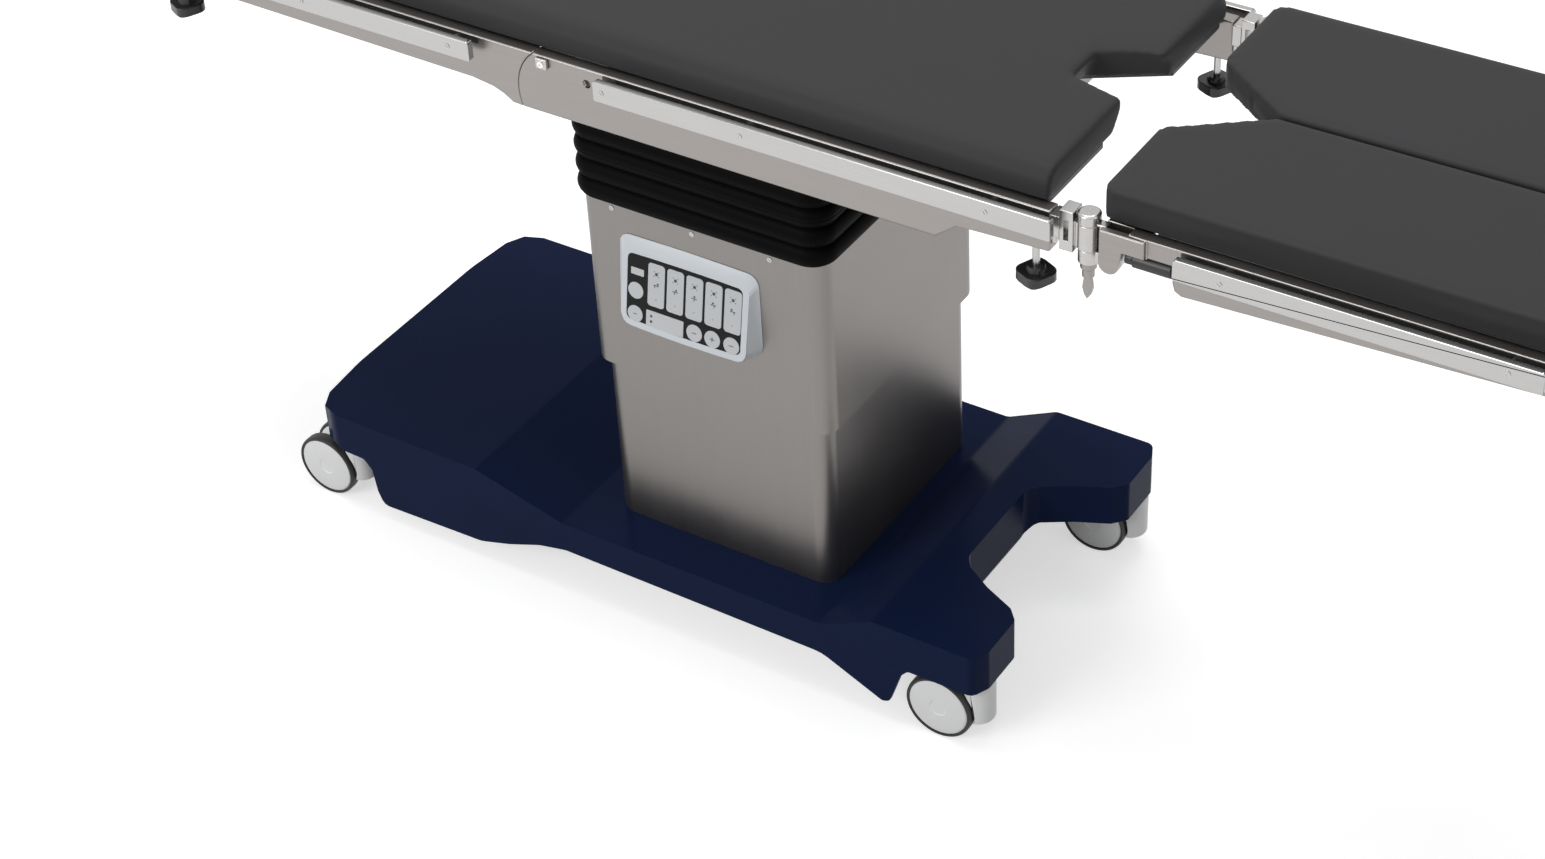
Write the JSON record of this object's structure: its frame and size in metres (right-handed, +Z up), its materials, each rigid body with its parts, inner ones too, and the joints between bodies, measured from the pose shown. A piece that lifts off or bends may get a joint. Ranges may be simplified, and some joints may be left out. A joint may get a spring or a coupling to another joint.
{
  "type": "operating table",
  "caption": "Mobile operating table: telescopic column on a castered base, tilting sectioned top with split leg plates, side rails and charcoal pads.",
  "frame": {"origin": "centre of the bounding box on the floor", "axes": "+X towards the foot end, +Y towards the side away from the control panel, +Z up"},
  "size_m": [2.284, 0.544, 0.952],
  "materials": {
    "navy_moulding": "deep navy, satin gloss",
    "brushed_steel_sheet": "vertically brushed sheet",
    "satin_steel": "satin",
    "bright_steel": "bright, fine grain along the rail",
    "dark_chassis_steel": "dark paint",
    "chrome": "polished",
    "white_plastic": "white, satin",
    "pale_grey_plastic": "pale grey, satin",
    "black_plastic": "black, satin",
    "black_rubber": "black, matt",
    "charcoal_pad_cover": "charcoal coated cover, matt"
  },
  "bodies": {
    "base": {"base_cover": "navy_moulding", "base_chassis": "dark_chassis_steel", "power_unit": "black_plastic", "battery_pack": "pale_grey_plastic", "column_lower_cover": "brushed_steel_sheet", "mast_outer": "dark_chassis_steel", "lift_cylinder_barrel": "dark_chassis_steel"},
    "lift": {"column_upper_cover": "brushed_steel_sheet", "crosshead": "dark_chassis_steel", "mast_inner": "satin_steel", "lift_cylinder_rod": "chrome", "bellows": "black_rubber", "panel_housing": "pale_grey_plastic", "keypad": "black_plastic"},
    "cradle": {"tilt_cradle": "dark_chassis_steel"},
    "top": {"seat_frame": "satin_steel", "seat_board": "black_plastic", "seat_pad": "charcoal_pad_cover", "flex_pad": "charcoal_pad_cover", "seat_rail_near": "bright_steel", "seat_rail_far": "bright_steel", "back_latch_near": "chrome", "back_latch_far": "chrome", "leg_socket_near": "satin_steel", "leg_socket_far": "satin_steel"},
    "back": {"back_frame": "satin_steel", "back_board": "black_plastic", "back_pad": "charcoal_pad_cover", "back_rail_near": "bright_steel", "back_rail_far": "bright_steel", "head_yoke": "satin_steel"},
    "head": {"head_frame": "satin_steel", "head_board": "black_plastic", "head_pad": "charcoal_pad_cover"},
    "caster_head_near": {"caster_hood_head_near": "white_plastic"},
    "wheels_head_near": {"caster_wheels_head_near": "white_plastic"},
    "caster_head_far": {"caster_hood_head_far": "white_plastic"},
    "wheels_head_far": {"caster_wheels_head_far": "white_plastic"},
    "caster_foot_near": {"caster_hood_foot_near": "white_plastic"},
    "wheels_foot_near": {"caster_wheels_foot_near": "white_plastic"},
    "caster_foot_far": {"caster_hood_foot_far": "white_plastic"},
    "wheels_foot_far": {"caster_wheels_foot_far": "white_plastic"},
    "knob_seat_near": {"clamp_knob_seat_near": "black_plastic"},
    "knob_head_near": {"clamp_knob_head_near": "black_plastic"},
    "knob_seat_far": {"clamp_knob_seat_far": "black_plastic"},
    "knob_head_far": {"clamp_knob_head_far": "black_plastic"},
    "spread_near": {"leg_swivel_near": "chrome"},
    "lever_near": {"leg_lever_near": "chrome"},
    "leg_near": {"leg_arm_near": "satin_steel", "leg_lock_near": "black_plastic", "leg_board_near": "black_plastic", "leg_pad_near": "charcoal_pad_cover", "leg_rail_near": "bright_steel"},
    "spread_far": {"leg_swivel_far": "chrome"},
    "lever_far": {"leg_lever_far": "chrome"},
    "leg_far": {"leg_arm_far": "satin_steel", "leg_lock_far": "black_plastic", "leg_board_far": "black_plastic", "leg_pad_far": "charcoal_pad_cover", "leg_rail_far": "bright_steel"}
  },
  "joints": [
    {"name": "caster_head_near_swivel", "type": "hinge", "parent": "base", "child": "caster_head_near", "pos_m": [-0.686, -0.223, 0.118], "axis": [0, 0, 1], "continuous": true},
    {"name": "wheels_head_near_roll", "type": "hinge", "parent": "caster_head_near", "child": "wheels_head_near", "pos_m": [-0.711, -0.223, 0.05], "axis": [0, 1, 0], "continuous": true},
    {"name": "caster_head_far_swivel", "type": "hinge", "parent": "base", "child": "caster_head_far", "pos_m": [-0.686, 0.223, 0.118], "axis": [0, 0, 1], "continuous": true},
    {"name": "wheels_head_far_roll", "type": "hinge", "parent": "caster_head_far", "child": "wheels_head_far", "pos_m": [-0.711, 0.223, 0.05], "axis": [0, 1, 0], "continuous": true},
    {"name": "caster_foot_near_swivel", "type": "hinge", "parent": "base", "child": "caster_foot_near", "pos_m": [0.378, -0.223, 0.118], "axis": [0, 0, 1], "continuous": true},
    {"name": "wheels_foot_near_roll", "type": "hinge", "parent": "caster_foot_near", "child": "wheels_foot_near", "pos_m": [0.353, -0.223, 0.05], "axis": [0, 1, 0], "continuous": true},
    {"name": "caster_foot_far_swivel", "type": "hinge", "parent": "base", "child": "caster_foot_far", "pos_m": [0.378, 0.223, 0.118], "axis": [0, 0, 1], "continuous": true},
    {"name": "wheels_foot_far_roll", "type": "hinge", "parent": "caster_foot_far", "child": "wheels_foot_far", "pos_m": [0.353, 0.223, 0.05], "axis": [0, 1, 0], "continuous": true},
    {"name": "column_lift", "type": "slide", "parent": "base", "child": "lift", "axis": [0, 0, 1], "range_m": [-0.25, 0.05]},
    {"name": "side_tilt", "type": "hinge", "parent": "lift", "child": "cradle", "pos_m": [-0.03, 0, 0.8], "axis": [1, 0, 0], "range_deg": [-20, 20], "deforming": ["bellows"]},
    {"name": "lengthwise_tilt", "type": "hinge", "parent": "cradle", "child": "top", "pos_m": [-0.03, 0, 0.8], "axis": [0, -1, 0], "range_deg": [-25, 25]},
    {"name": "back_hinge", "type": "hinge", "parent": "top", "child": "back", "pos_m": [-0.18, 0, 0.85], "axis": [0, 1, 0], "range_deg": [-40, 70], "deforming": ["flex_pad"]},
    {"name": "head_hinge", "type": "hinge", "parent": "back", "child": "head", "pos_m": [-0.882, 0, 0.874], "axis": [0, 1, 0], "range_deg": [-45, 30]},
    {"name": "knob_seat_near_turn", "type": "hinge", "parent": "top", "child": "knob_seat_near", "pos_m": [0.491, -0.24, 0.8115], "axis": [0, 0, 1], "range_deg": [-180, 180]},
    {"name": "knob_head_near_turn", "type": "hinge", "parent": "back", "child": "knob_head_near", "pos_m": [-0.834, -0.24, 0.8115], "axis": [0, 0, 1], "range_deg": [-180, 180]},
    {"name": "knob_seat_far_turn", "type": "hinge", "parent": "top", "child": "knob_seat_far", "pos_m": [0.491, 0.24, 0.8115], "axis": [0, 0, 1], "range_deg": [-180, 180]},
    {"name": "knob_head_far_turn", "type": "hinge", "parent": "back", "child": "knob_head_far", "pos_m": [-0.834, 0.24, 0.8115], "axis": [0, 0, 1], "range_deg": [-180, 180]},
    {"name": "leg_near_spread", "type": "hinge", "parent": "top", "child": "spread_near", "pos_m": [0.56, -0.24, 0.8875], "axis": [0, 0, 1], "range_deg": [-90, 0]},
    {"name": "leg_near_lever", "type": "hinge", "parent": "spread_near", "child": "lever_near", "pos_m": [0.56, -0.24, 0.84], "axis": [0, 0, 1], "range_deg": [-60, 60]},
    {"name": "leg_near_drop", "type": "hinge", "parent": "spread_near", "child": "leg_near", "pos_m": [0.593, -0.24, 0.865], "axis": [0, 1, 0], "range_deg": [0, 90]},
    {"name": "leg_far_spread", "type": "hinge", "parent": "top", "child": "spread_far", "pos_m": [0.56, 0.24, 0.8875], "axis": [0, 0, 1], "range_deg": [0, 90]},
    {"name": "leg_far_lever", "type": "hinge", "parent": "spread_far", "child": "lever_far", "pos_m": [0.56, 0.24, 0.84], "axis": [0, 0, 1], "range_deg": [-60, 60]},
    {"name": "leg_far_drop", "type": "hinge", "parent": "spread_far", "child": "leg_far", "pos_m": [0.593, 0.24, 0.865], "axis": [0, 1, 0], "range_deg": [0, 90]}
  ]
}
